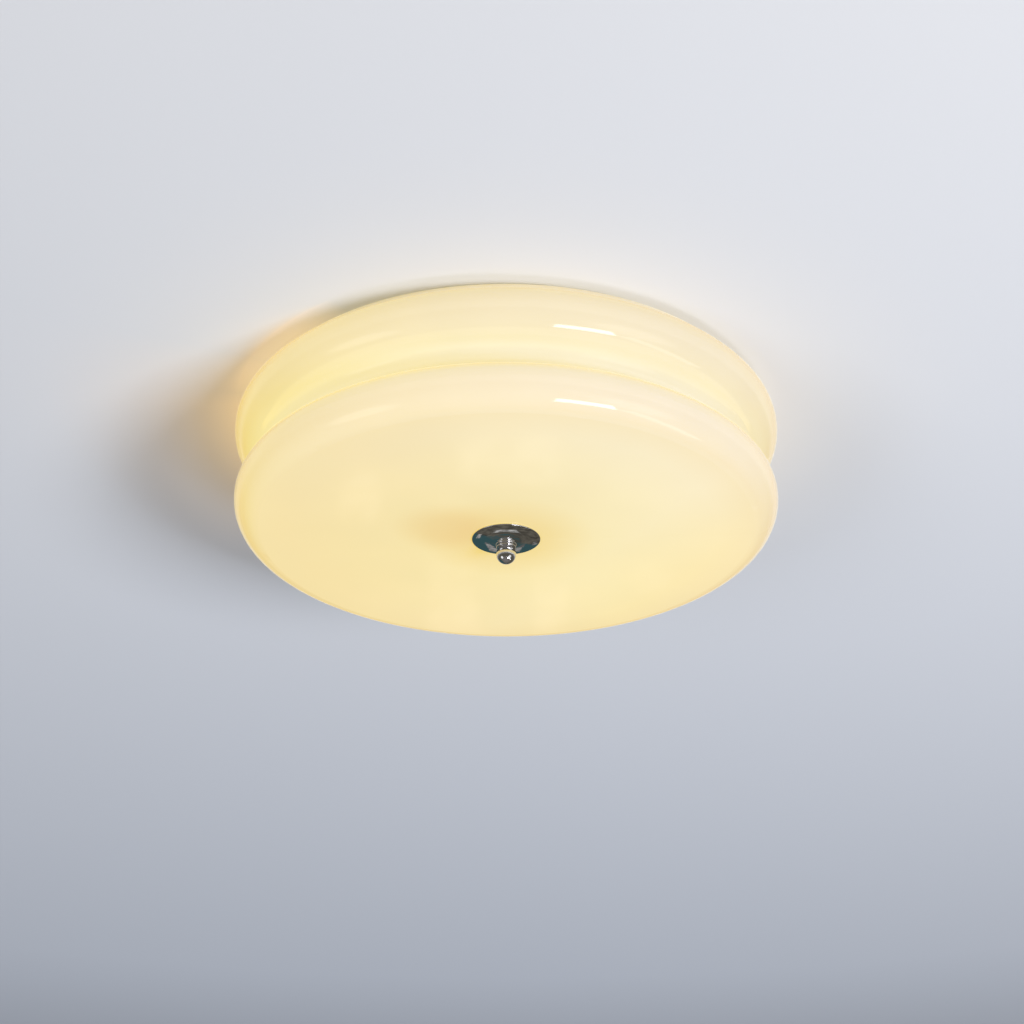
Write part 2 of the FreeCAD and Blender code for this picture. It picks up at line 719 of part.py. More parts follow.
def make_driver_case():
    """Open plastic tray with two fixing ears, four board posts and two end windows."""
    tray_h = driver_h - driver_lid_t
    tray = block(0, driver_y, pan_top_z, driver_length, driver_width, tray_h)
    for x, y in driver_screw_places():
        ear = block(x, y, pan_top_z, driver_ear_length, driver_ear_width, driver_ear_t)
        tray = tray.fuse(ear)
    inside_length, inside_width = driver_inside(0)
    tray = tray.cut(block(0, driver_y, pan_top_z + driver_wall, inside_length, inside_width, tray_h))
    post_x = inside_length / 2 - driver_post_r
    post_y = inside_width / 2 - driver_post_r
    posts = [cylinder(driver_post_r, side_x * post_x, driver_y + side_y * post_y, pan_top_z, driver_board_z)
             for side_x in (-1, 1) for side_y in (-1, 1)]
    tray = tray.fuse(posts)
    window_w = driver_plug_width - 2 * window_margin
    window_h = driver_plug_h - 2 * window_margin
    window = block(0, driver_y, driver_board_top_z + window_margin, 2 * driver_length, window_w, window_h)
    holes = [cylinder(driver_screw_r + thread_gap, x, y, pan_top_z, pan_top_z + driver_ear_t)
             for x, y in driver_screw_places()]
    return tray.cut([window] + holes)


def make_driver_lid():
    """Flat cover with a lip that drops inside the case."""
    plate = block(0, driver_y, driver_lid_z, driver_length, driver_width, driver_lid_t)
    lip_length, lip_width = driver_inside(driver_fit)
    lip = block(0, driver_y, driver_lid_z - driver_lip_h, lip_length, lip_width, driver_lip_h)
    hollow = block(0, driver_y, driver_lid_z - driver_lip_h, lip_length - 2 * driver_wall,
                   lip_width - 2 * driver_wall, driver_lip_h)
    return plate.fuse(lip).removeSplitter().cut(hollow)


def make_driver_board():
    length, width = driver_inside(driver_fit)
    return block(0, driver_y, driver_board_z, length, width, driver_board_t)


def driver_plug_x():
    """Middle of each terminal, whose outer face stands just inside the case wall."""
    return driver_length / 2 - driver_wall - driver_fit - driver_plug_length / 2


def make_driver_terminals():
    """Push-in terminals at both ends of the driver's board."""
    terminals = []
    for side in (-1, 1):
        body = block(side * driver_plug_x(), driver_y, driver_board_top_z,
                     driver_plug_length, driver_plug_width, driver_plug_h)
        mouth_x = side * (driver_plug_x() + driver_plug_length / 2)
        hole_r = lead_r if side < 0 else led_lead_r
        spacing = terminal_pitch / 2 if side < 0 else led_lead_spacing
        for way in (-1, 1):
            start = FreeCAD.Vector(mouth_x, driver_y + way * spacing / 2, driver_lead_z)
            inwards = FreeCAD.Vector(-side, 0, 0)
            body = body.cut(Part.makeCylinder(hole_r + lead_gap, lead_insert, start, inwards))
        terminals.append(body)
    return Part.makeCompound(terminals)


def make_driver_transformer():
    """Wound core between the terminals: two cheeks with a rounder winding between them."""
    cheek_t = core_length / 5
    winding_r = min(core_width, core_h) / 2
    axis_z = driver_board_top_z + winding_r
    cheek_x = (core_length - cheek_t) / 2
    cheeks = [block(side * cheek_x, driver_y, driver_board_top_z, cheek_t, core_width, core_h)
              for side in (-1, 1)]
    start = FreeCAD.Vector(-core_length / 2, driver_y, axis_z)
    winding = Part.makeCylinder(winding_r, core_length, start, FreeCAD.Vector(1, 0, 0))
    return winding.fuse(cheeks).removeSplitter()


def make_driver_capacitor():
    """Can that lies on the board beside the transformer."""
    x = (core_length / 2 + driver_plug_x() - driver_plug_length / 2) / 2
    start = FreeCAD.Vector(x, driver_y - can_length / 2, driver_board_top_z + can_r)
    return Part.makeCylinder(can_r, can_length, start, FreeCAD.Vector(0, 1, 0))


def make_driver_screws():
    reach = driver_ear_t + pan_sheet + driver_screw_reach
    return Part.makeCompound([slotted_screw(x, y, pan_top_z + driver_ear_t, 1, driver_screw_r, reach,
                                            driver_screw_head_r, driver_screw_head_h)
                              for x, y in driver_screw_places()])


# ---- supply terminal and earth -----------------------------------------------------------
terminal_axis_z = pan_top_z + terminal_bore_z
terminal_length = terminal_pitch * terminal_poles
sleeve_length = terminal_width - 2 * sleeve_end_gap


def pole_places():
    return [terminal_pitch * (pole - (terminal_poles - 1) / 2) for pole in range(terminal_poles)]


def bore_along_y(radius, x, length):
    start = FreeCAD.Vector(x, terminal_y - length / 2, terminal_axis_z)
    return Part.makeCylinder(radius, length, start, FreeCAD.Vector(0, 1, 0))


def terminal_screw_places():
    return [(x, terminal_y + side * terminal_screw_offset) for x in pole_places() for side in (-1, 1)]


def make_terminal_block():
    """Screw terminal for the building's supply, on the pan's upper face."""
    body = block(0, terminal_y, pan_top_z, terminal_length, terminal_width, terminal_h)
    top_z = pan_top_z + terminal_h
    cutters = [bore_along_y(sleeve_r + terminal_fit, x, terminal_width) for x in pole_places()]
    cutters += [cylinder(terminal_screw_r + terminal_fit, x, y, terminal_axis_z, top_z)
                for x, y in terminal_screw_places()]
    x = fixing_screw_x()
    cutters.append(cylinder(fixing_screw_r + thread_gap, x, terminal_y, pan_top_z, top_z))
    seat_z = top_z - fixing_screw_head_h
    cutters.append(cylinder(fixing_screw_head_r + terminal_fit, x, terminal_y, seat_z, top_z))
    return body.cut(cutters)


def make_terminal_sleeves():
    """Brass tubes that grip the wires, one in each pole."""
    return Part.makeCompound([bore_along_y(sleeve_r, x, sleeve_length).cut(
        bore_along_y(sleeve_bore_r, x, sleeve_length)) for x in pole_places()])


def make_terminal_screws():
    """Clamp screws that stand on the brass tubes."""
    foot_z = terminal_axis_z + sleeve_r + thread_gap
    top_z = pan_top_z + terminal_h - terminal_screw_recess
    screws = []
    for x, y in terminal_screw_places():
        slot = block(x, y, top_z - screw_slot_depth, 3 * terminal_screw_r, screw_slot_w, screw_slot_depth)
        screws.append(cylinder(terminal_screw_r, x, y, foot_z, top_z).cut(slot))
    return Part.makeCompound(screws)


def make_terminal_fixing_screw():
    seat_z = pan_top_z + terminal_h - fixing_screw_head_h
    reach = seat_z - pan_under_z + fixing_screw_reach
    return slotted_screw(fixing_screw_x(), terminal_y, seat_z, 1, fixing_screw_r, reach,
                         fixing_screw_head_r, fixing_screw_head_h)


def make_earth_washer():
    return washer(earth_washer_r, earth_screw_r + thread_gap, earth_x, earth_y,
                  pan_top_z, pan_top_z + earth_washer_t)


def lug_seat_z():
    return pan_top_z + earth_washer_t


def lug_barrel_x():
    """The barrel starts at the ring's edge and points towards the terminal."""
    return earth_x - lug_ring_r


def make_earth_lug():
    """Ring terminal: a flat ring with a crimp barrel."""
    top_z = lug_seat_z() + lug_t
    ring = washer(lug_ring_r, earth_screw_r + thread_gap, earth_x, earth_y, lug_seat_z(), top_z)
    end_x = lug_barrel_x() - lug_barrel_length
    axis_z = lug_seat_z() + lug_barrel_r
    start = FreeCAD.Vector(end_x, earth_y, axis_z)
    barrel = Part.makeCylinder(lug_barrel_r, lug_barrel_length, start, FreeCAD.Vector(1, 0, 0))
    bore = Part.makeCylinder(lead_r + lead_gap, lug_barrel_length, start, FreeCAD.Vector(1, 0, 0))
    tongue = block(lug_barrel_x(), earth_y, lug_seat_z(), 2 * lug_t + lug_ring_r, 2 * lug_barrel_r, lug_t)
    hole = cylinder(earth_screw_r + thread_gap, earth_x, earth_y, lug_seat_z(), top_z)
    return ring.fuse([tongue, barrel]).cut([bore, hole])


def make_earth_screw():
    seat_z = lug_seat_z() + lug_t
    reach = seat_z - pan_under_z + earth_screw_reach
    return slotted_screw(earth_x, earth_y, seat_z, 1, earth_screw_r, reach,
                         earth_screw_head_r, earth_screw_head_h)


def make_gland():
    """Rubber gland clipped into the pan's hole, round the LED leads."""
    top_z = pan_top_z + gland_flange_t
    foot_z = pan_under_z - gland_flange_t
    flange_r = gland_hole_r + gland_flange
    body = cylinder(gland_hole_r - thread_gap, gland_x, gland_y, foot_z, top_z)
    upper = cylinder(flange_r, gland_x, gland_y, pan_top_z, top_z)
    lower = cylinder(flange_r, gland_x, gland_y, foot_z, pan_under_z)
    bore = cylinder(gland_bore_r, gland_x, gland_y, foot_z, top_z)
    return body.fuse([upper, lower]).removeSplitter().cut(bore)


# ---- internal leads ----------------------------------------------------------------------
terminal_mouth_y = terminal_y + sleeve_length / 2


def supply_lead(pole_x, inner_side):
    """Lead from a terminal pole round the stud to the driver's supply end; the outer one has -1."""
    clear_x = -driver_length / 2 - driver_ear_length - 2 * lead_bend_r + inner_side * 2 * lead_r
    end_y = driver_y - inner_side * terminal_pitch / 4
    start_y = terminal_mouth_y - lead_insert
    points = [
        FreeCAD.Vector(pole_x, start_y, terminal_axis_z),
        FreeCAD.Vector(pole_x, terminal_mouth_y + lead_bend_r, terminal_axis_z),
        FreeCAD.Vector(clear_x, terminal_mouth_y + 5 * lead_bend_r, terminal_axis_z),
        FreeCAD.Vector(clear_x, end_y, driver_lead_z),
        FreeCAD.Vector(-driver_plug_x() - driver_plug_length / 2 + lead_insert, end_y, driver_lead_z),
    ]
    return tube(points, lead_bend_r, lead_r)


def make_live_lead():
    return supply_lead(pole_places()[0], -1)


def make_neutral_lead():
    return supply_lead(pole_places()[1], 1)


def make_earth_lead():
    """Lead from the last pole to the ring terminal on the pan."""
    pole_x = pole_places()[-1]
    axis_z = lug_seat_z() + lug_barrel_r
    points = [
        FreeCAD.Vector(pole_x, terminal_mouth_y - lead_insert, terminal_axis_z),
        FreeCAD.Vector(pole_x, terminal_mouth_y + lead_bend_r, terminal_axis_z),
        FreeCAD.Vector(pole_x + lead_bend_r / 2, earth_y, axis_z),
        FreeCAD.Vector(lug_barrel_x(), earth_y, axis_z),
    ]
    return tube(points, lead_bend_r / 2, lead_r)


def led_lead(side):
    """Lead from the driver's output end through the gland to the board's connector."""
    x = gland_x + side * led_lead_spacing / 2
    start_x = driver_plug_x() + driver_plug_length / 2 - lead_insert
    start_y = driver_y + side * led_lead_spacing / 2
    mouth_y = plug_y + plug_length / 2
    points = [
        FreeCAD.Vector(start_x, start_y, driver_lead_z),
        FreeCAD.Vector(x, start_y, driver_lead_z),
        FreeCAD.Vector(x, gland_y, driver_lead_z),
        FreeCAD.Vector(x, gland_y, led_lead_z),
        FreeCAD.Vector(x, mouth_y - lead_insert, led_lead_z),
    ]
    return tube(points, [lead_bend_r, led_lead_drop_bend_r, led_lead_drop_bend_r], led_lead_r)


def make_led_lead_positive():
    return led_lead(1)


def make_led_lead_negative():
    return led_lead(-1)


os.makedirs("parts", exist_ok=True)

save("crossbar", make_crossbar())
save("crossbar_studs", make_crossbar_studs())
save("stud_washers", make_stud_washers())
save("dome_nuts", make_dome_nuts())
save("ceiling_pan", make_ceiling_pan())
save("centre_rod", make_centre_rod())
save("rod_upper_nut", make_rod_upper_nut())
save("rod_lock_washer", make_rod_lock_washer())
save("rod_lower_nut", make_rod_lower_nut())
save("shade_stop_nut", make_shade_stop_nut())
save("led_board", make_led_board())
save("led_chips", make_led_chips())
save("led_lenses", make_led_lenses())
save("magnet_feet", make_magnet_feet())
save("foot_screws", make_foot_screws())
save("led_plug", make_led_plug())
save("driver_case", make_driver_case())
save("driver_lid", make_driver_lid())
save("driver_board", make_driver_board())
save("driver_terminals", make_driver_terminals())
save("driver_transformer", make_driver_transformer())
save("driver_capacitor", make_driver_capacitor())
save("driver_screws", make_driver_screws())
save("terminal_block", make_terminal_block())
save("terminal_sleeves", make_terminal_sleeves())
save("terminal_screws", make_terminal_screws())
save("terminal_fixing_screw", make_terminal_fixing_screw())
save("earth_washer", make_earth_washer())
save("earth_lug", make_earth_lug())
save("earth_screw", make_earth_screw())
save("pan_gland", make_gland())
save("live_lead", make_live_lead())
save("neutral_lead", make_neutral_lead())
save("earth_lead", make_earth_lead())
save("led_lead_positive", make_led_lead_positive())
save("led_lead_negative", make_led_lead_negative())
save("glass_shade", make_glass_shade())
save("shade_grommet", make_shade_grommet())
save("inner_washer", make_inner_washer())
save("outer_washer", make_outer_washer())
save("trim_dish", make_trim_dish())
save("finial", make_finial())
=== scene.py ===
import json
import math

import bmesh
import bpy
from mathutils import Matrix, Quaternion, Vector


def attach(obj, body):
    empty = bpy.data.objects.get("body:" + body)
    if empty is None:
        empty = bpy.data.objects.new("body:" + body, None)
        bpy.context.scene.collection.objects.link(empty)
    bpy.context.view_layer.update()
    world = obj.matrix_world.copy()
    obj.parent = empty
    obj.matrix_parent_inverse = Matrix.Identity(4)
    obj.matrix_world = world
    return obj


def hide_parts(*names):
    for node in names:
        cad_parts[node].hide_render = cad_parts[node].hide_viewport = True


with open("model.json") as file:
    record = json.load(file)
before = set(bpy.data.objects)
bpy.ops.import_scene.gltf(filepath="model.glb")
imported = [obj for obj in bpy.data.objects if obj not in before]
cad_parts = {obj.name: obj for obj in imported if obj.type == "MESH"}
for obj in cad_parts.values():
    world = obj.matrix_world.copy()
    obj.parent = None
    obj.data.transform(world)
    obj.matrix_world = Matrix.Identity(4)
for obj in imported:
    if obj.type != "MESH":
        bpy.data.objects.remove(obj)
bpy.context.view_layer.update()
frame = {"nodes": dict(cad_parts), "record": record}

# A flush mount ceiling light seen from below: a two-tier opal glass shade held up by a ball finial.
# Metres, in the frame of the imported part: z = 0 is the ceiling and the lamp hangs towards -Z.

nodes = frame["nodes"]
MM = 0.001
SHADE_R = 0.2
SHADE_FOOT_Z = -0.100        # the shade's sides pass into its bottom here


# ---- shader building -----------------------------------------------------------------------
def srgb(red, green, blue):
    """Linear colour from 0 to 255 screen values."""
    def linear(value):
        value /= 255
        return value / 12.92 if value <= 0.04045 else ((value + 0.055) / 1.055) ** 2.4
    return linear(red), linear(green), linear(blue), 1.0


class Net:
    """Adds and joins shader nodes in one tree."""

    def __init__(self, tree):
        self.tree = tree
        tree.nodes.clear()

    def node(self, kind, settings=None, **inputs):
        made = self.tree.nodes.new("ShaderNode" + kind)
        for name, value in (settings or {}).items():
            setattr(made, name, value)
        for name, value in inputs.items():
            self.feed(made.inputs[name.replace("_", " ")], value)
        return made

    def feed(self, socket, value):
        """Joins a node or a socket to the socket, or sets a plain value on it."""
        if isinstance(value, bpy.types.Node):
            value = value.outputs[0]
        if isinstance(value, bpy.types.NodeSocket):
            self.tree.links.new(value, socket)
        else:
            socket.default_value = value

    def math(self, operation, *values):
        made = self.node("Math", {"operation": operation})
        for socket, value in zip(made.inputs, values):
            self.feed(socket, value)
        return made.outputs[0]

    def remap(self, value, low, high, to_low=0.0, to_high=1.0, curve="LINEAR"):
        """Takes low to to_low and high to to_high, and holds them beyond; low may be above high."""
        return self.node("MapRange", {"clamp": True, "interpolation_type": curve}, Value=value,
                         From_Min=low, From_Max=high, To_Min=to_low, To_Max=to_high).outputs[0]

    def window(self, value, low, high, edge):
        """1 between low and high, with edges of the given width inside them, and 0 beyond."""
        return self.math("MULTIPLY", self.remap(value, low, low + edge),
                         self.remap(value, high - edge, high, 1.0, 0.0))

    def ramp(self, value, stops):
        """Colour ramp over 0 to 1; a stop is its place and its red, green and blue."""
        made = self.node("ValToRGB", Fac=value)
        elements = made.color_ramp.elements
        while len(elements) < len(stops):
            elements.new(1.0)
        for element, (place, *colour) in zip(elements, stops):
            element.position = place
            element.color = (*colour, 1.0)
        return made.outputs["Color"]

    def mix(self, factor, first, second, blend="MIX"):
        made = self.node("Mix", {"data_type": "RGBA", "blend_type": blend})
        for socket, value in zip((made.inputs[0], made.inputs[6], made.inputs[7]),
                                 (factor, first, second)):
            self.feed(socket, value)
        return made.outputs[2]

    def times(self, colour, by, factor=1.0):
        """A colour times another colour or a number, as far as the factor says."""
        tinted = self.mix(1.0, colour, by, "MULTIPLY")
        return tinted if factor == 1.0 else self.mix(factor, colour, tinted)

    def choose(self, factor, first, second):
        """The first shader where the factor is 0, the second where it is 1."""
        made = self.node("MixShader")
        for socket, value in zip(made.inputs, (factor, first, second)):
            self.feed(socket, value)
        return made

    def place(self):
        """Place on the object, in metres."""
        return self.node("TexCoord").outputs["Object"]

    def axes(self, vector):
        return self.node("SeparateXYZ", Vector=vector).outputs

    def from_axis(self, x, y):
        """Distance from the lamp's axis."""
        return self.math("SQRT", self.math("ADD", self.math("MULTIPLY", x, x),
                                           self.math("MULTIPLY", y, y)))

    def along(self, x, y, way_x, way_y):
        """How far a place is along a level direction."""
        return self.math("ADD", self.math("MULTIPLY", x, way_x), self.math("MULTIPLY", y, way_y))

    def noise(self, size, detail=3.0, roughness=0.55, stretch=None):
        """Noise whose features are about size across, in metres."""
        vector = self.place()
        if stretch:
            vector = self.node("Mapping", Vector=vector, Scale=stretch).outputs[0]
        made = self.node("TexNoise", Vector=vector, Scale=1 / size, Detail=detail,
                         Roughness=roughness)
        return made.outputs["Fac"]

    def bump(self, height, distance, under=None):
        """Relief of the given depth in metres, over another relief."""
        made = self.node("Bump", Height=height, Distance=distance, Strength=1.0)
        if under is not None:
            self.feed(made.inputs["Normal"], under)
        return made.outputs["Normal"]

    def surface(self, **inputs):
        shader = self.node("BsdfPrincipled", **inputs)
        self.node("OutputMaterial", Surface=shader)
        return shader


def new_material(name):
    material = bpy.data.materials.new(name)
    material.use_nodes = True
    return material, Net(material.node_tree)


def stained(net, colour, size, depth=0.12):
    """A colour that varies a little from place to place."""
    darker = tuple(channel * (1 - depth) for channel in colour[:3]) + (1.0,)
    return net.mix(net.remap(net.noise(size, 5.0), 0.35, 0.65), darker, colour)


# ---- opal glass ----------------------------------------------------------------------------
# glow of the shade's sides, from the foot to the ceiling
SIDE_GLOW = ((0.00, 0.94, 0.72, 0.25), (0.15, 0.89, 0.68, 0.25), (0.30, 0.86, 0.68, 0.27),
             (0.45, 0.89, 0.71, 0.27), (0.54, 0.92, 0.74, 0.29), (0.60, 0.89, 0.68, 0.20),
             (0.80, 0.83, 0.63, 0.20), (0.93, 0.76, 0.60, 0.23), (1.00, 0.69, 0.56, 0.26))
# glow of its bottom, from the axis to the rim; darker and yellower near the axis, a painted shade
# of the dish outside and of the hardware inside
BOTTOM_GLOW = ((0.00, 0.88, 0.61, 0.04), (0.17, 0.91, 0.67, 0.15), (0.32, 0.94, 0.74, 0.26),
               (0.60, 0.96, 0.76, 0.30), (0.90, 0.96, 0.76, 0.34))
# painted light and shade from the left end of the shade to the right: yellower on the shaded left,
# whiter and bluer on the right where the lamps fall; the bottom's are written at 1 / BOTTOM_SCALE
SIDE_PAINTED_LIGHT = ((0.0, 0.985, 0.96, 0.65), (0.06, 1.0, 1.0, 0.93), (0.95, 1.0, 0.99, 1.05),
             (1.0, 0.97, 0.96, 1.0))
BOTTOM_PAINTED_LIGHT = ((0.0, 0.69, 0.645, 0.415), (0.7, 0.725, 0.743, 0.82), (1.0, 0.735, 0.75, 0.88))
BOTTOM_SCALE = 1.4
# the bottom is yellower towards the far right
FAR_RIGHT_TINT = ((0.0, 1.0, 1.0, 1.0), (0.35, 1.0, 0.985, 0.86), (0.7, 1.0, 0.965, 0.72),
                  (1.0, 1.0, 0.96, 0.68))
# the dish's soft shadow on the bottom beside it: middle, whole and faded radius, tint
DISH_SHADOW = ((-0.043, -0.016, -0.1036), 0.012, 0.044, (0.965, 0.89, 0.62, 1.0))
# the tinted casing, from a view straight on to a glancing one
CASING_TINT = ((0.00, 1.0, 1.0, 1.0), (0.35, 0.96, 0.97, 1.0), (0.58, 0.93, 0.93, 0.86),
               (0.72, 0.86, 0.82, 0.63), (0.82, 0.74, 0.70, 0.56), (0.92, 0.55, 0.55, 0.60))
BLUISH_GLASS = (0.05, 0.10, 0.22, 1.0)
GLASS_IOR = 1.52


def side_glow(net, x, z, across):
    # painted light and shade from side to side: lighter and bluer where the lamps fall on the right
    glow = net.times(net.ramp(net.remap(z, SHADE_FOOT_Z, 0.0), SIDE_GLOW),
                     net.ramp(across, SIDE_PAINTED_LIGHT))
    # a little brighter on the left of the groove and the upper tier
    lift = net.math("MULTIPLY", net.remap(x, -SHADE_R, -0.08, 0.045, 0.0),
                    net.remap(z, -0.072, -0.060))
    return net.times(glow, net.math("ADD", lift, 1.0))


def bottom_glow(net, x, y, across):
    glow = net.ramp(net.remap(net.from_axis(x, y), 0.0, SHADE_R), BOTTOM_GLOW)
    # painted light and shade from side to side: lighter and bluer where the lamps fall on the right
    glow = net.times(glow, net.ramp(across, BOTTOM_PAINTED_LIGHT))
    glow = net.times(glow, (BOTTOM_SCALE, BOTTOM_SCALE, BOTTOM_SCALE, 1.0))
    far_right = net.remap(net.along(x, y, 1.0, 0.6), 0.09, 0.21)
    glow = net.times(glow, net.ramp(far_right, FAR_RIGHT_TINT))
    middle, whole_r, faded_r, tint = DISH_SHADOW
    beside = net.node("VectorMath", {"operation": "DISTANCE"}, Vector=net.place())
    beside.inputs[1].default_value = middle
    shadow = net.remap(beside.outputs["Value"], faded_r, whole_r, curve="SMOOTHSTEP")
    glow = net.times(glow, tint, shadow)
    # a little brighter at the far side
    return net.times(glow, net.remap(y, -0.16, 0.16, 0.975, 1.04))


def opal_glass():
    """Glossy cased opal glass, lit softly from inside, with painted light and shade in its glow."""
    material, net = new_material("opal_glass")
    x, y, z = net.axes(net.place())
    across = net.remap(x, -SHADE_R, SHADE_R)
    glow = net.mix(net.remap(z, SHADE_FOOT_Z - MM, SHADE_FOOT_Z + MM),
                   bottom_glow(net, x, y, across), side_glow(net, x, z, across))
    glow = net.times(glow, net.remap(net.noise(0.09, 2.0), 0.3, 0.7, 0.985, 1.015))
    # at a glancing view the light comes through more of the tinted casing
    facing = net.node("LayerWeight", Blend=0.5).outputs["Facing"]
    glow = net.times(glow, net.ramp(facing, CASING_TINT))
    ripple = net.bump(net.noise(0.035, 1.5, 0.4), 0.00003)
    skin = net.bump(net.noise(0.006, 2.0, 0.4), 0.0000015, under=ripple)
    shader = net.surface(Base_Color=stained(net, BLUISH_GLASS, 0.05, 0.03), Roughness=0.06,
                         IOR=GLASS_IOR, Emission_Color=glow, Normal=skin)
    shader.inputs["Emission Strength"].default_value = 1.0
    return material


# ---- metals and plastics -------------------------------------------------------------------
def chrome():
    material, net = new_material("chrome")
    haze = net.remap(net.noise(0.004, 4.0), 0.4, 0.7, 0.02, 0.055)
    ripple = net.bump(net.noise(0.007, 1.0), 0.00003)
    polish = net.bump(net.noise(0.0012, 2.0), 0.0000006, under=ripple)
    net.surface(Base_Color=stained(net, (0.80, 0.81, 0.83, 1.0), 0.01, 0.05), Metallic=1.0,
                Roughness=haze, Normal=polish)
    return material


def powder_coat():
    """Light grey powder coat with a fine orange peel."""
    material, net = new_material("powder_coat")
    net.surface(Base_Color=stained(net, srgb(192, 192, 188), 0.03, 0.06),
                Roughness=net.remap(net.noise(0.01), 0.3, 0.7, 0.38, 0.52),
                Normal=net.bump(net.noise(0.0016, 3.0), 0.00005))
    return material


def plated(name, colour, warm, roughness):
    """Plated steel with a drawn grain and a faint passivation tint."""
    material, net = new_material(name)
    tint = net.mix(net.remap(net.noise(0.004, 4.0), 0.4, 0.65), (*colour, 1.0), (*warm, 1.0))
    grain = net.noise(0.0004, 3.0, stretch=(1.0, 1.0, 0.15))
    net.surface(Base_Color=tint, Metallic=1.0,
                Roughness=net.remap(grain, 0.3, 0.7, roughness - 0.08, roughness + 0.10),
                Normal=net.bump(grain, 0.00001))
    return material


def moulded(name, colour, roughness=0.45, grain=0.0006, depth=0.00001):
    """Moulded plastic, rubber or sleeving with a fine surface grain."""
    material, net = new_material(name)
    gloss = net.remap(net.noise(0.003), 0.3, 0.7, roughness - 0.06, roughness + 0.08)
    net.surface(Base_Color=stained(net, colour, 0.006, 0.10), Roughness=gloss,
                Normal=net.bump(net.noise(grain, 3.0), depth))
    return material


BOARD_TRACKS = (0.0815, 0.0965, 0.1245, 0.1395)        # radii of the ring tracks
TRACK_HALF_W = 0.0012


def solder_mask():
    """White solder mask over copper: raised ring tracks show as a slightly darker relief."""
    material, net = new_material("solder_mask")
    x, y, _ = net.axes(net.place())
    radius = net.from_axis(x, y)
    bands = []
    for ring in BOARD_TRACKS:
        off = net.math("ABSOLUTE", net.math("SUBTRACT", radius, ring))
        bands.append(net.remap(off, TRACK_HALF_W, TRACK_HALF_W + 0.0003, 1.0, 0.0))
    track = bands[0]
    for band in bands[1:]:
        track = net.math("MAXIMUM", track, band)
    white = stained(net, srgb(238, 238, 232), 0.02, 0.04)
    relief = net.bump(track, 0.00004)
    net.surface(Base_Color=net.mix(track, white, srgb(222, 224, 214)), Roughness=0.3,
                Normal=net.bump(net.noise(0.001), 0.000008, under=relief))
    return material


def lens_plastic():
    material, net = new_material("lens_plastic")
    net.surface(Base_Color=(0.93, 0.94, 0.95, 1.0), IOR=1.49, Transmission_Weight=0.62,
                Roughness=net.remap(net.noise(0.002), 0.3, 0.7, 0.10, 0.20),
                Normal=net.bump(net.noise(0.0015), 0.000004))
    return material


def wound_tape():
    """Tape wound round the transformer's core, in overlapping turns."""
    material, net = new_material("wound_tape")
    turns = net.node("TexWave", {"bands_direction": "X"}, Vector=net.place(), Scale=90.0,
                     Distortion=1.5, Detail=2.0).outputs["Fac"]
    net.surface(Base_Color=net.mix(turns, (0.42, 0.30, 0.07, 1.0), (0.62, 0.48, 0.14, 1.0)),
                Roughness=0.35, Normal=net.bump(turns, 0.0001))
    return material


def striped_sleeve():
    """Green and yellow sleeving of the earth lead."""
    material, net = new_material("striped_sleeve")
    wave = net.node("TexWave", {"bands_direction": "DIAGONAL"}, Vector=net.place(), Scale=70.0,
                    Distortion=0.4).outputs["Fac"]
    stripe = net.remap(wave, 0.62, 0.66)
    net.surface(Base_Color=net.mix(stripe, (0.05, 0.30, 0.06, 1.0), (0.75, 0.62, 0.05, 1.0)),
                Roughness=0.4, Normal=net.bump(net.noise(0.0008), 0.00002))
    return material


# by the record's material slots
MATERIALS = {
    "opal_glass": opal_glass(),
    "chrome": chrome(),
    "pan_paint": powder_coat(),
    "zinc_steel": plated("zinc_steel", (0.60, 0.61, 0.63), (0.62, 0.60, 0.52), 0.30),
    "black_steel": plated("black_steel", (0.16, 0.16, 0.17), (0.22, 0.19, 0.15), 0.34),
    "brass": plated("brass", (0.78, 0.57, 0.26), (0.62, 0.42, 0.18), 0.28),
    "copper_tin": plated("copper_tin", (0.66, 0.65, 0.62), (0.58, 0.52, 0.44), 0.32),
    "magnet": plated("magnet", (0.55, 0.55, 0.55), (0.60, 0.57, 0.50), 0.22),
    "rubber": moulded("silicone", srgb(222, 220, 214), 0.5),
    "gland_rubber": moulded("gland_rubber", (0.025, 0.025, 0.026, 1.0), 0.6),
    "board_white": solder_mask(),
    "led_phosphor": moulded("phosphor", (0.85, 0.62, 0.09, 1.0), 0.35, 0.0002, 0.000005),
    "lens_clear": lens_plastic(),
    "plug_plastic": moulded("plug_plastic", srgb(236, 233, 220), 0.4),
    "driver_plastic": moulded("driver_plastic", srgb(226, 226, 221), 0.5, 0.0012, 0.00004),
    "driver_board": moulded("driver_board", (0.02, 0.17, 0.06, 1.0), 0.3),
    "driver_terminal": moulded("driver_terminal", (0.05, 0.22, 0.08, 1.0), 0.42),
    "transformer": wound_tape(),
    "capacitor": moulded("capacitor_sleeve", (0.02, 0.02, 0.03, 1.0), 0.3),
    "terminal_plastic": moulded("terminal_plastic", srgb(230, 230, 224), 0.42),
    "lead_brown": moulded("brown_sleeve", (0.09, 0.03, 0.012, 1.0), 0.4),
    "lead_blue": moulded("blue_sleeve", (0.02, 0.07, 0.40, 1.0), 0.4),
    "lead_green": striped_sleeve(),
    "lead_red": moulded("red_sleeve", (0.50, 0.02, 0.015, 1.0), 0.4),
    "lead_black": moulded("black_sleeve", (0.015, 0.015, 0.015, 1.0), 0.4),
}

for part in frame["record"]["subparts"]:
    for slot in nodes[part["node"]].material_slots:
        slot.material = MATERIALS[part["material_slot"]]


# ---- shapes --------------------------------------------------------------------------------
def add_object(name, data):
    made = bpy.data.objects.new(name, data)
    bpy.context.scene.collection.objects.link(made)
    return made


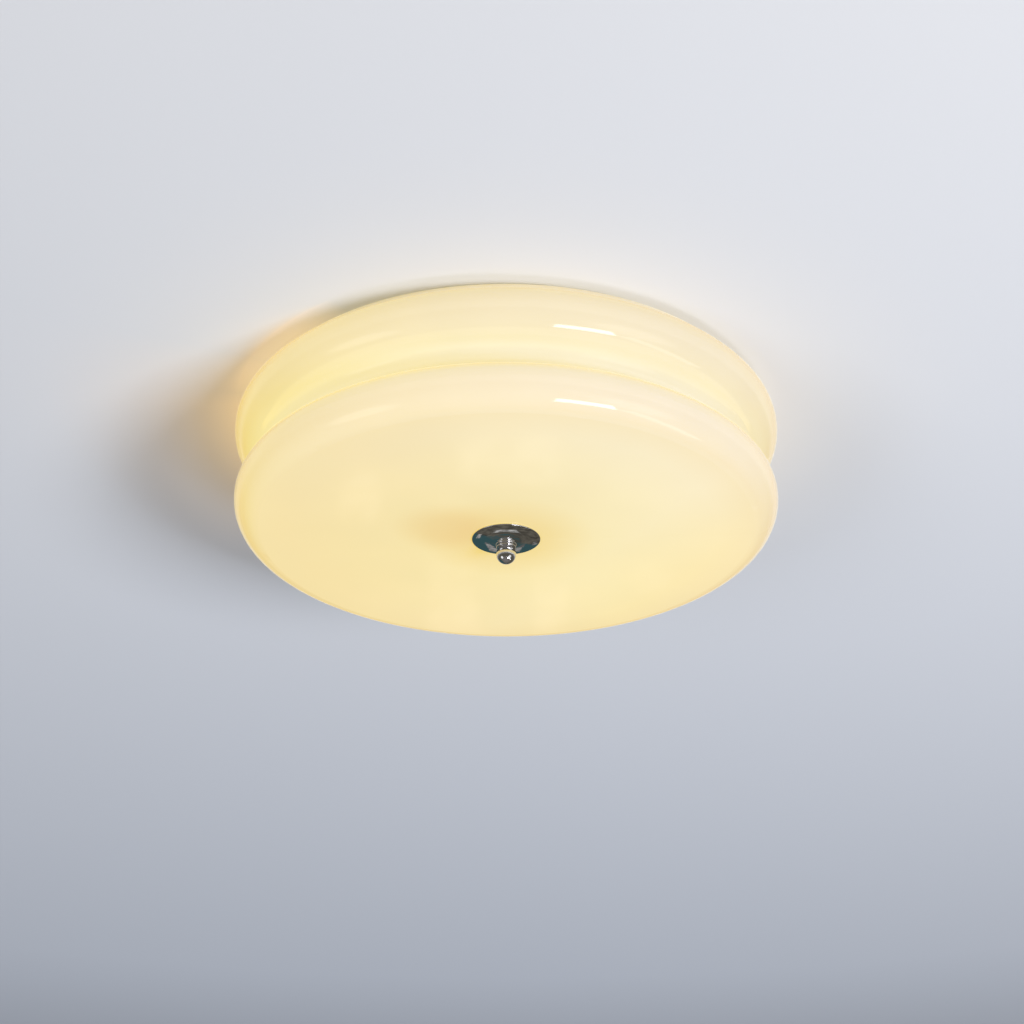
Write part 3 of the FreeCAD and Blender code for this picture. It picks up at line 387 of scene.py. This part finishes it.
def revolve(outline, sides):
    """Surface of revolution round the lamp's axis, through points given as radius and z."""
    shape = bmesh.new()
    angles = [2 * math.pi * i / sides for i in range(sides)]
    rings = [[shape.verts.new((radius * math.cos(a), radius * math.sin(a), z))
              for a in (angles if radius else angles[:1])] for radius, z in outline]
    for first, second in zip(rings, rings[1:]):
        for i in range(sides):
            j = (i + 1) % sides
            corners = [first[i % len(first)], first[j % len(first)],
                       second[j % len(second)], second[i % len(second)]]
            shape.faces.new(list(dict.fromkeys(corners)))
    return shape


def finished_mesh(name, shape, material):
    data = bpy.data.meshes.new(name)
    shape.to_mesh(data)
    shape.free()
    data.materials.append(material)
    return data


# ---- leads inside the pan, in millimetres --------------------------------------------------
MAINS_LEAD_D = 2.2
LED_LEAD_D = 1.6
TERMINAL_Z = -18.5
EARTH_LUG_Z = -22.3
DRIVER_LEAD_Z = -14.8
LED_PLUG_Z = -31.9
LED_LEAD_OFFSET = 1.3        # each LED lead to the middle of the pair


def spline_length(data):
    """Length in metres of a curve's own line, without its bevel."""
    line = data.copy()
    line.bevel_depth = 0.0
    probe = add_object("probe", line)
    bpy.context.view_layer.update()
    mesh = bpy.data.meshes.new_from_object(probe)
    ends = [[mesh.vertices[i].co for i in edge.vertices] for edge in mesh.edges]
    length = sum((first - second).length for first, second in ends)
    bpy.data.objects.remove(probe)
    bpy.data.curves.remove(line)
    bpy.data.meshes.remove(mesh)
    return length


def lead(node, slot_name, diameter, points):
    """A wire on one smooth line through the CAD lead's own points."""
    data = bpy.data.curves.new(node + "_wire", "CURVE")
    data.dimensions = "3D"
    data.bevel_depth = diameter * MM / 2
    data.bevel_resolution = 4
    data.resolution_u = 16
    data.use_fill_caps = True
    spline = data.splines.new("NURBS")
    spline.points.add(len(points) - 1)
    for point, (x, y, z) in zip(spline.points, points):
        point.co = (x * MM, y * MM, z * MM, 1.0)
    spline.order_u = 3
    spline.use_endpoint_u = True
    data.materials.append(MATERIALS[slot_name])
    wire = add_object(node + "_wire", data)
    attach(wire, "ceiling_base")
    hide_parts(node)
    length = spline_length(data)


lead("live_lead", "lead_brown", MAINS_LEAD_D, [
    (-10, -43, TERMINAL_Z), (-10, -27, TERMINAL_Z), (-83.2, 21, TERMINAL_Z),
    (-83.2, 88.5, DRIVER_LEAD_Z), (-40.1, 88.5, DRIVER_LEAD_Z)])
lead("neutral_lead", "lead_blue", MAINS_LEAD_D, [
    (0, -43, TERMINAL_Z), (0, -27, TERMINAL_Z), (-78.8, 21, TERMINAL_Z),
    (-78.8, 83.5, DRIVER_LEAD_Z), (-40.1, 83.5, DRIVER_LEAD_Z)])
lead("earth_lead", "lead_green", MAINS_LEAD_D, [
    (10, -43, TERMINAL_Z), (10, -27, TERMINAL_Z), (16, -20, EARTH_LUG_Z), (39.8, -20, EARTH_LUG_Z)])
for node, slot_name, offset in (("led_lead_positive", "lead_red", LED_LEAD_OFFSET),
                                ("led_lead_negative", "lead_black", -LED_LEAD_OFFSET)):
    lead(node, slot_name, LED_LEAD_D, [
        (40.1, 86 + offset, DRIVER_LEAD_Z), (80 + offset, 86 + offset, DRIVER_LEAD_Z),
        (80 + offset, 62, DRIVER_LEAD_Z), (80 + offset, 62, LED_PLUG_Z),
        (80 + offset, 42.5, LED_PLUG_Z)])


# ---- finial, in millimetres ----------------------------------------------------------------
DISH_FACE_Z = -105.4
BORE_R, BORE_DEPTH, BORE_CHAMFER = 3.05, 9.5, 0.3
BALL_R, BALL_DEPTH = 7.3, 11.08            # the ball's middle, below the dish's face
# each ring's top and foot below the dish's face, and its radius in the hollows and at its crest
FINIAL_RINGS = ((0.0, 1.9, 5.3, 6.5), (1.9, 4.2, 6.0, 7.6), (4.2, 6.3, 5.9, 7.2))
RING_FULLNESS = 0.8          # 1 is an ellipse; less is flatter at the crest
RING_STEPS, BALL_STEPS, FINIAL_SIDES = 12, 40, 144


def finial_outline():
    """Radius and depth below the dish's face: the bore, three rounded rings and the ball."""
    points = [(0.0, BORE_DEPTH), (BORE_R, BORE_DEPTH), (BORE_R, BORE_CHAMFER),
              (BORE_R + BORE_CHAMFER, 0.0)]
    for top, foot, hollow_r, crest_r in FINIAL_RINGS:
        middle, half = (top + foot) / 2, (foot - top) / 2
        for i in range(RING_STEPS + 1):
            angle = math.pi * i / RING_STEPS
            rise = math.sin(angle) ** RING_FULLNESS
            points.append((hollow_r + (crest_r - hollow_r) * rise, middle - half * math.cos(angle)))
    start = math.asin((FINIAL_RINGS[-1][1] - BALL_DEPTH) / BALL_R)
    for i in range(BALL_STEPS + 1):
        angle = start + (math.pi / 2 - start) * i / BALL_STEPS
        points.append((BALL_R * math.cos(angle), BALL_DEPTH + BALL_R * math.sin(angle)))
    points[-1] = (0.0, BALL_DEPTH + BALL_R)
    return points


def make_finial():
    """The finial as it is turned and polished: softly rounded rings above the ball."""
    outline = [(radius * MM, (DISH_FACE_Z - depth) * MM) for radius, depth in finial_outline()]
    shape = revolve(outline, FINIAL_SIDES)
    bmesh.ops.recalc_face_normals(shape, faces=shape.faces)
    for face in shape.faces:
        face.smooth = True
    finial = add_object("turned_finial", finished_mesh("turned_finial", shape, MATERIALS["chrome"]))
    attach(finial, "knob")
    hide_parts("finial")
    # the photograph's dish mirrors neither the finial nor the rod's tip inside it
    finial.visible_glossy = False
    nodes["centre_rod"].visible_glossy = False


make_finial()


# ---- ceiling -------------------------------------------------------------------------------
CEILING_Z = 0.0003
CEILING_RINGS = (0.165, 0.5, 2.0, 9.0)      # the first is a hole hidden above the pan's flange
CEILING_SIDES = 96
# painted shading of the ceiling, from near the camera to far from it
NEAR_PAINTED_SHADING = (0.542, 0.556, 0.588)          # towards the camera
FAR_PAINTED_SHADING = (0.650, 0.705, 0.812)
# painted shade on the right of the ceiling
RIGHT_PAINTED_SHADE = (0.97, 0.965, 0.96, 1.0)
OUTSIDE_PAINTED_SHADE = (0.58, 0.58, 0.58, 1.0)
LEAK_PAINTED_WARMTH = (1.0, 0.95, 0.90, 1.0)
LEAK_COLOUR = (1.0, 0.55, 0.12, 1.0)
WIDE_LEAK_STRENGTH, NARROW_LEAK_STRENGTH = 0.38, 0.31
WIDE_LEAK_WAY = (-0.951, 0.309)             # level directions from the axis, of length 1
NARROW_LEAK_WAY = (-0.857, -0.515)
WIDE_LEAK_REACH = 0.045
FALLOFF_BASE = 2.718


def leaked_light(net, x, y, radius):
    """Strength of the light that leaks between the shade's rim and the ceiling, and its side."""
    def towards(way):
        return net.math("DIVIDE", net.along(x, y, *way), radius)

    def faded(reach):
        return net.math("POWER", FALLOFF_BASE, net.math("DIVIDE", beyond, reach))

    beyond = net.math("MAXIMUM", net.math("SUBTRACT", radius, SHADE_R), 0.0)
    side = net.remap(towards(WIDE_LEAK_WAY), 0.74, 0.93, 0.15, 1.0)
    wide = net.math("MULTIPLY", WIDE_LEAK_STRENGTH,
                    net.math("MULTIPLY", faded(-WIDE_LEAK_REACH), side))
    # a narrow bright line beside the glass, which reaches further out towards the left
    reach = net.remap(net.math("DIVIDE", x, radius), -0.64, -0.94, -0.001, -0.013)
    narrow = net.math("MULTIPLY", net.remap(towards(NARROW_LEAK_WAY), 0.927, 0.995), faded(reach))
    return net.math("ADD", wide, net.math("MULTIPLY", NARROW_LEAK_STRENGTH, narrow)), side


def ceiling_paint():
    """Matt ceiling paint, with painted shading and a painted glow of the leaked light. From above
    it is clear, so that the mounting side can be seen.
    """
    material, net = new_material("ceiling_paint")
    x, y, _ = net.axes(net.place())
    radius = net.from_axis(x, y)
    # painted shading: the ceiling's brightness is painted from near the camera to far from it
    tone = net.ramp(net.remap(y, -0.5, 1.5), ((0.0, *NEAR_PAINTED_SHADING), (1.0, *FAR_PAINTED_SHADING)))
    # painted shade: a little darker towards the right
    tone = net.times(tone, RIGHT_PAINTED_SHADE, net.remap(x, 0.1, 0.7))
    # painted shade: out of the main camera's view the ceiling is painted darker, so that it doesn't
    # clip beside the lights
    outside = net.math("MAXIMUM", net.remap(radius, 1.5, 2.8), net.remap(y, -1.4, -0.55, 1.0, 0.0))
    tone = net.times(tone, OUTSIDE_PAINTED_SHADE, outside)
    # painted light: the paint around the leak is painted warmer, as the leaked light would warm it
    leak, side = leaked_light(net, x, y, radius)
    painted_warmth = net.math("MULTIPLY", side, net.remap(radius, 0.22, 0.34, 1.0, 0.0))
    tone = net.times(tone, LEAK_PAINTED_WARMTH, painted_warmth)
    paint = net.node("AddShader")
    net.feed(paint.inputs[0], net.node("BsdfDiffuse", Color=tone,
                                       Normal=net.bump(net.noise(0.003, 3.0), 0.00003)))
    # painted glow: the leaked light is drawn as the ceiling's own emission
    net.feed(paint.inputs[1], net.node("Emission", Color=LEAK_COLOUR, Strength=leak))
    behind = net.node("NewGeometry").outputs["Backfacing"]
    net.node("OutputMaterial", Surface=net.choose(behind, paint, net.node("BsdfTransparent")))
    return material


def make_ceiling():
    shape = revolve([(radius, CEILING_Z) for radius in CEILING_RINGS], CEILING_SIDES)
    ceiling = add_object("ceiling", finished_mesh("ceiling", shape, ceiling_paint()))


make_ceiling()


# ---- world and lights ----------------------------------------------------------------------
LAMP_MIDDLE = Vector((0, 0, -0.06))
# the mirrored room from straight down, through the horizon halfway, to straight up
ROOM = ((0.00, 0.22, 0.20, 0.19), (0.19, 0.11, 0.10, 0.08), (0.33, 0.10, 0.09, 0.07),
        (0.46, 0.16, 0.15, 0.14), (0.50, 0.46, 0.46, 0.45), (1.00, 0.75, 0.76, 0.78))
TEAL_WALL = (0.040, 0.088, 0.094, 1.0)
WALL_EDGE_Z, WALL_SLANT, WALL_TOP_Z = -0.444, 0.7, -0.255
# pale things in the mirrored room, as ranges of the direction's x and z, and their brightness
WALL_PATCHES = ((-0.096, -0.070, -0.505, -0.455, 0.50), (-0.045, -0.014, -0.43, -0.30, 0.30),
                (0.014, 0.036, -0.42, -0.30, 0.30), (0.070, 0.094, -0.415, -0.375, 0.26),
                (-0.030, 0.032, -0.545, -0.495, 0.46))
PATCH_EDGE_X, PATCH_EDGE_Z = 0.003, 0.006
# soft bright places in the mirrored room: direction, whole and faded angle, and brightness
WALL_GLOWS = ((-109, -42, 0.16, 0.27, 1.05), (122, -36, 0.17, 0.32, 0.85))
AMBIENT, AMBIENT_ABOVE = 0.24, 0.85
SEEN_BACKDROP = srgb(226, 228, 231)


def direction(azimuth, elevation):
    """Unit vector; azimuth runs from +Y towards +X, both in degrees."""
    a, e = math.radians(azimuth), math.radians(elevation)
    return Vector((math.sin(a) * math.cos(e), math.cos(a) * math.cos(e), math.sin(e)))


def mirrored_room(net, way, x, y, z):
    """What metal, gloss and glass show of the room, by the direction that they mirror."""
    def mottle(scale, detail, *limits):
        made = net.node("TexNoise", Vector=way, Scale=scale, Detail=detail)
        return net.remap(made.outputs["Fac"], *limits)

    room = net.ramp(net.remap(z, -1.0, 1.0), ROOM)
    ahead = net.remap(y, 0.4, 0.5)
    below_wall = net.math("MULTIPLY", ahead, net.remap(z, -0.30, -0.26, 1.0, 0.0))
    mottled = net.math("MAXIMUM", below_wall, net.remap(z, -0.90, -0.80, 1.0, 0.0))
    room = net.times(room, mottle(38.0, 3.0, 0.35, 0.65, 0.55, 1.35), mottled)
    # the far end of the room: a teal wall above a slanting edge, with a few pale things on it
    above = net.math("SUBTRACT", net.math("ADD", z, -WALL_EDGE_Z),
                     net.math("MULTIPLY", x, WALL_SLANT))
    wall = net.math("MULTIPLY", net.remap(above, -0.004, 0.004),
                    net.remap(z, WALL_TOP_Z - 0.007, WALL_TOP_Z, 1.0, 0.0))
    room = net.mix(net.math("MULTIPLY", wall, ahead), room, TEAL_WALL)
    carved = mottle(75.0, 2.0, 0.40, 0.60, 0.35, 1.2)
    for left, right, low, high, shade in WALL_PATCHES:
        facing = net.math("MULTIPLY", net.window(x, left, right, PATCH_EDGE_X), ahead)
        inside = net.math("MULTIPLY", facing, net.window(z, low, high, PATCH_EDGE_Z))
        patch = net.times((shade, 0.97 * shade, 0.92 * shade, 1.0), carved)
        room = net.mix(inside, room, patch)
    for azimuth, elevation, whole, faded, shade in WALL_GLOWS:
        near = net.node("VectorMath", {"operation": "DOT_PRODUCT"}, Vector=way)
        near.inputs[1].default_value = direction(azimuth, elevation)
        glow = net.remap(near.outputs["Value"], math.cos(faded), math.cos(whole), 0.0, shade)
        room = net.mix(1.0, room, glow, "ADD")
    return room


def make_world():
    world = bpy.data.worlds.new("room")
    bpy.context.scene.world = world
    world.use_nodes = True
    net = Net(world.node_tree)
    way = net.node("TexCoord").outputs["Generated"]
    x, y, z = net.axes(way)
    # above the ceiling there is more light, for the mounting side
    ambient = net.node("Background", Color=(1.0, 1.0, 1.0, 1.0),
                       Strength=net.remap(z, 0.02, 0.15, AMBIENT, AMBIENT_ABOVE))
    mirrored = net.node("Background", Color=mirrored_room(net, way, x, y, z), Strength=1.0)
    seen = net.node("Background", Color=SEEN_BACKDROP, Strength=1.0)
    rays = net.node("LightPath").outputs
    sharp = net.math("MAXIMUM", rays["Is Glossy Ray"], rays["Is Transmission Ray"])
    unseen = net.choose(sharp, ambient, mirrored)
    net.node("OutputWorld", Surface=net.choose(rays["Is Camera Ray"], unseen, seen))


def soft_light(name, azimuth, elevation, distance, size, radiance, colour=(1.0, 1.0, 1.0),
               roll=0.0, mirrored=True):
    """Area light that faces the lamp and has the given brightness as seen from it."""
    data = bpy.data.lights.new(name, "AREA")
    data.shape = "RECTANGLE"
    data.size, data.size_y = size
    data.energy = radiance * math.pi * size[0] * size[1]
    data.color = colour
    light = add_object(name, data)
    way = direction(azimuth, elevation)
    light.location = LAMP_MIDDLE + way * distance
    light.rotation_mode = "QUATERNION"
    turn = Quaternion((0, 0, 1), math.radians(roll))
    light.rotation_quaternion = way.to_track_quat("Z", "Y") @ turn
    light.visible_glossy = mirrored


make_world()
soft_light("key_light", 135, -58, 2.2, (0.68, 0.48), 9.4, (0.98, 0.955, 1.0), roll=28)
soft_light("broad_light", 138.4, -29.1, 3.4, (1.24, 0.98), 33.9, mirrored=False)
soft_light("fill_light", 222.6, -28.1, 3.0, (1.38, 1.10), 5.6, mirrored=False)
soft_light("side_light", 91, -52, 2.4, (1.30, 0.34), 1.5, (1.0, 0.985, 0.97), roll=12)
soft_light("left_light", -103, -46, 2.4, (0.80, 0.40), 1.6, (1.0, 0.97, 0.92), mirrored=False)


# ---- camera --------------------------------------------------------------------------------
CAMERA_PLACE = Vector((0.0, -1.5606, -0.8760))
CAMERA_AIM = Vector((0.0043, 0.0174, -0.0731))

camera_data = bpy.data.cameras.new("camera")
camera_data.sensor_width = 36.0
camera_data.lens = 84.23
camera = add_object("camera", camera_data)
camera.location = CAMERA_PLACE
camera.rotation_mode = "QUATERNION"
camera.rotation_quaternion = (CAMERA_AIM - CAMERA_PLACE).to_track_quat("-Z", "Y")
bpy.context.scene.camera = camera
bpy.context.scene.view_settings.view_transform = "Standard"
